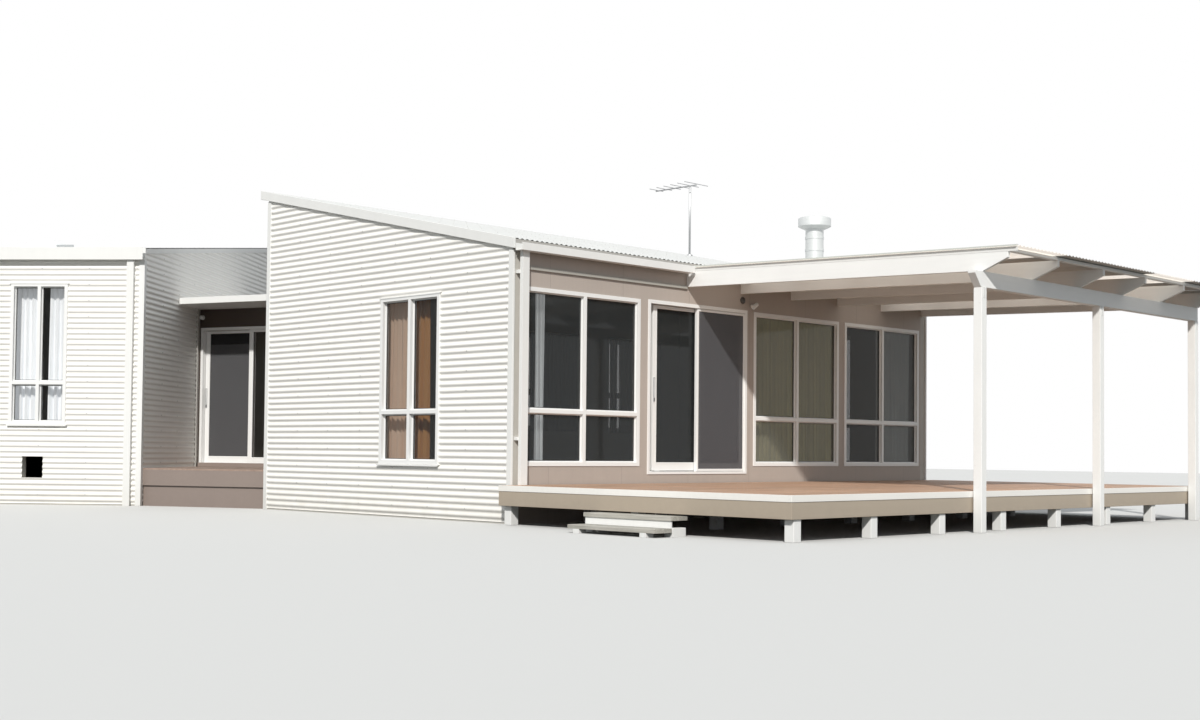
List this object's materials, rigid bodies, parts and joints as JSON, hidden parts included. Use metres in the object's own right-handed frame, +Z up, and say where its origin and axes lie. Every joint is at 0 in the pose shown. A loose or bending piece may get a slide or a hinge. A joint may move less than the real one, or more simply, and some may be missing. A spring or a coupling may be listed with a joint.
{
  "type": "beach house",
  "caption": "Single-storey beach house: skillion-roofed main block, turned wing, glazed link entry, raised deck and open verandah, with sliding doors.",
  "frame": {"origin": "on the ground under the middle of the main block, at the foot of its middle floor stump", "axes": "+X along the deck wall to the right seen from the deck, +Y from the deck towards the back, +Z up"},
  "size_m": [12.8075, 19.3543, 5.4195],
  "materials": {
    "cladding": "cream-white ribbed steel sheet",
    "deck_cladding": "smooth boards painted taupe",
    "entry_cladding": "dark brown stained boards",
    "roofing": "off-white ribbed roof sheet",
    "white_metal": "white folded steel",
    "window_aluminium": "white powder coat",
    "window_glass": "clear",
    "pale_trim": "painted off-white",
    "white_timber": "painted white",
    "taupe_board": "painted taupe",
    "deck_timber": "oiled reddish-brown boards",
    "grey_timber": "weathered grey",
    "framing_timber": "sawn",
    "flue_metal": "satin grey-white",
    "aerial_metal": "bare",
    "skylight_plastic": "opal dome",
    "lamp_plastic": "white"
  },
  "bodies": {
    "house": {"gable_wall": "cladding", "end_wall": "cladding", "back_wall": "cladding", "wing_front_wall": "cladding", "wing_entry_wall": "cladding", "wing_back_wall": "cladding", "wing_far_wall": "cladding", "deck_wall_left": "deck_cladding", "deck_wall_right": "deck_cladding", "deck_door_surround": "deck_cladding", "link_walls": "entry_cladding", "link_wall_over": "entry_cladding", "main_roof": "roofing", "link_roof": "roofing", "wing_roof": "roofing", "verandah_roof": "roofing", "barge_caps": "white_metal", "corner_trims": "white_metal", "gutters": "white_metal", "downpipes": "white_metal", "entry_canopy": "white_metal", "main_window_frames": "window_aluminium", "wing_window_frames": "window_aluminium", "deck_door_frame": "window_aluminium", "entry_door_frame": "window_aluminium", "fixed_door_panels": "window_aluminium", "window_glass": "window_glass", "deck_wall_trim": "pale_trim", "deck_edge_strip": "pale_trim", "deck_stumps": "white_timber", "step_blocks": "white_timber", "verandah_posts": "white_timber", "verandah_beam": "white_timber", "verandah_rafters": "white_timber", "verandah_battens": "white_timber", "deck_fascia": "taupe_board", "deck_boards": "deck_timber", "step_treads": "grey_timber", "entry_landing": "grey_timber", "main_floor": "framing_timber", "link_floor": "framing_timber", "wing_floor": "framing_timber", "deck_frame": "framing_timber", "floor_stumps": "framing_timber", "flue": "flue_metal", "tv_aerial": "aerial_metal", "wing_skylight": "skylight_plastic", "wall_lights": "lamp_plastic"},
    "deck_door": {"deck_door_sash": "window_aluminium", "deck_door_glass": "window_glass"},
    "entry_door": {"entry_door_sash": "window_aluminium", "entry_door_glass": "window_glass"}
  },
  "joints": [
    {"name": "deck_door_slide", "type": "slide", "parent": "house", "child": "deck_door", "axis": [1, 0, 0], "range_m": [-0.11, 0.75]},
    {"name": "entry_door_slide", "type": "slide", "parent": "house", "child": "entry_door", "axis": [0.3532, -0.9356, 0], "range_m": [0, 0.85]}
  ]
}
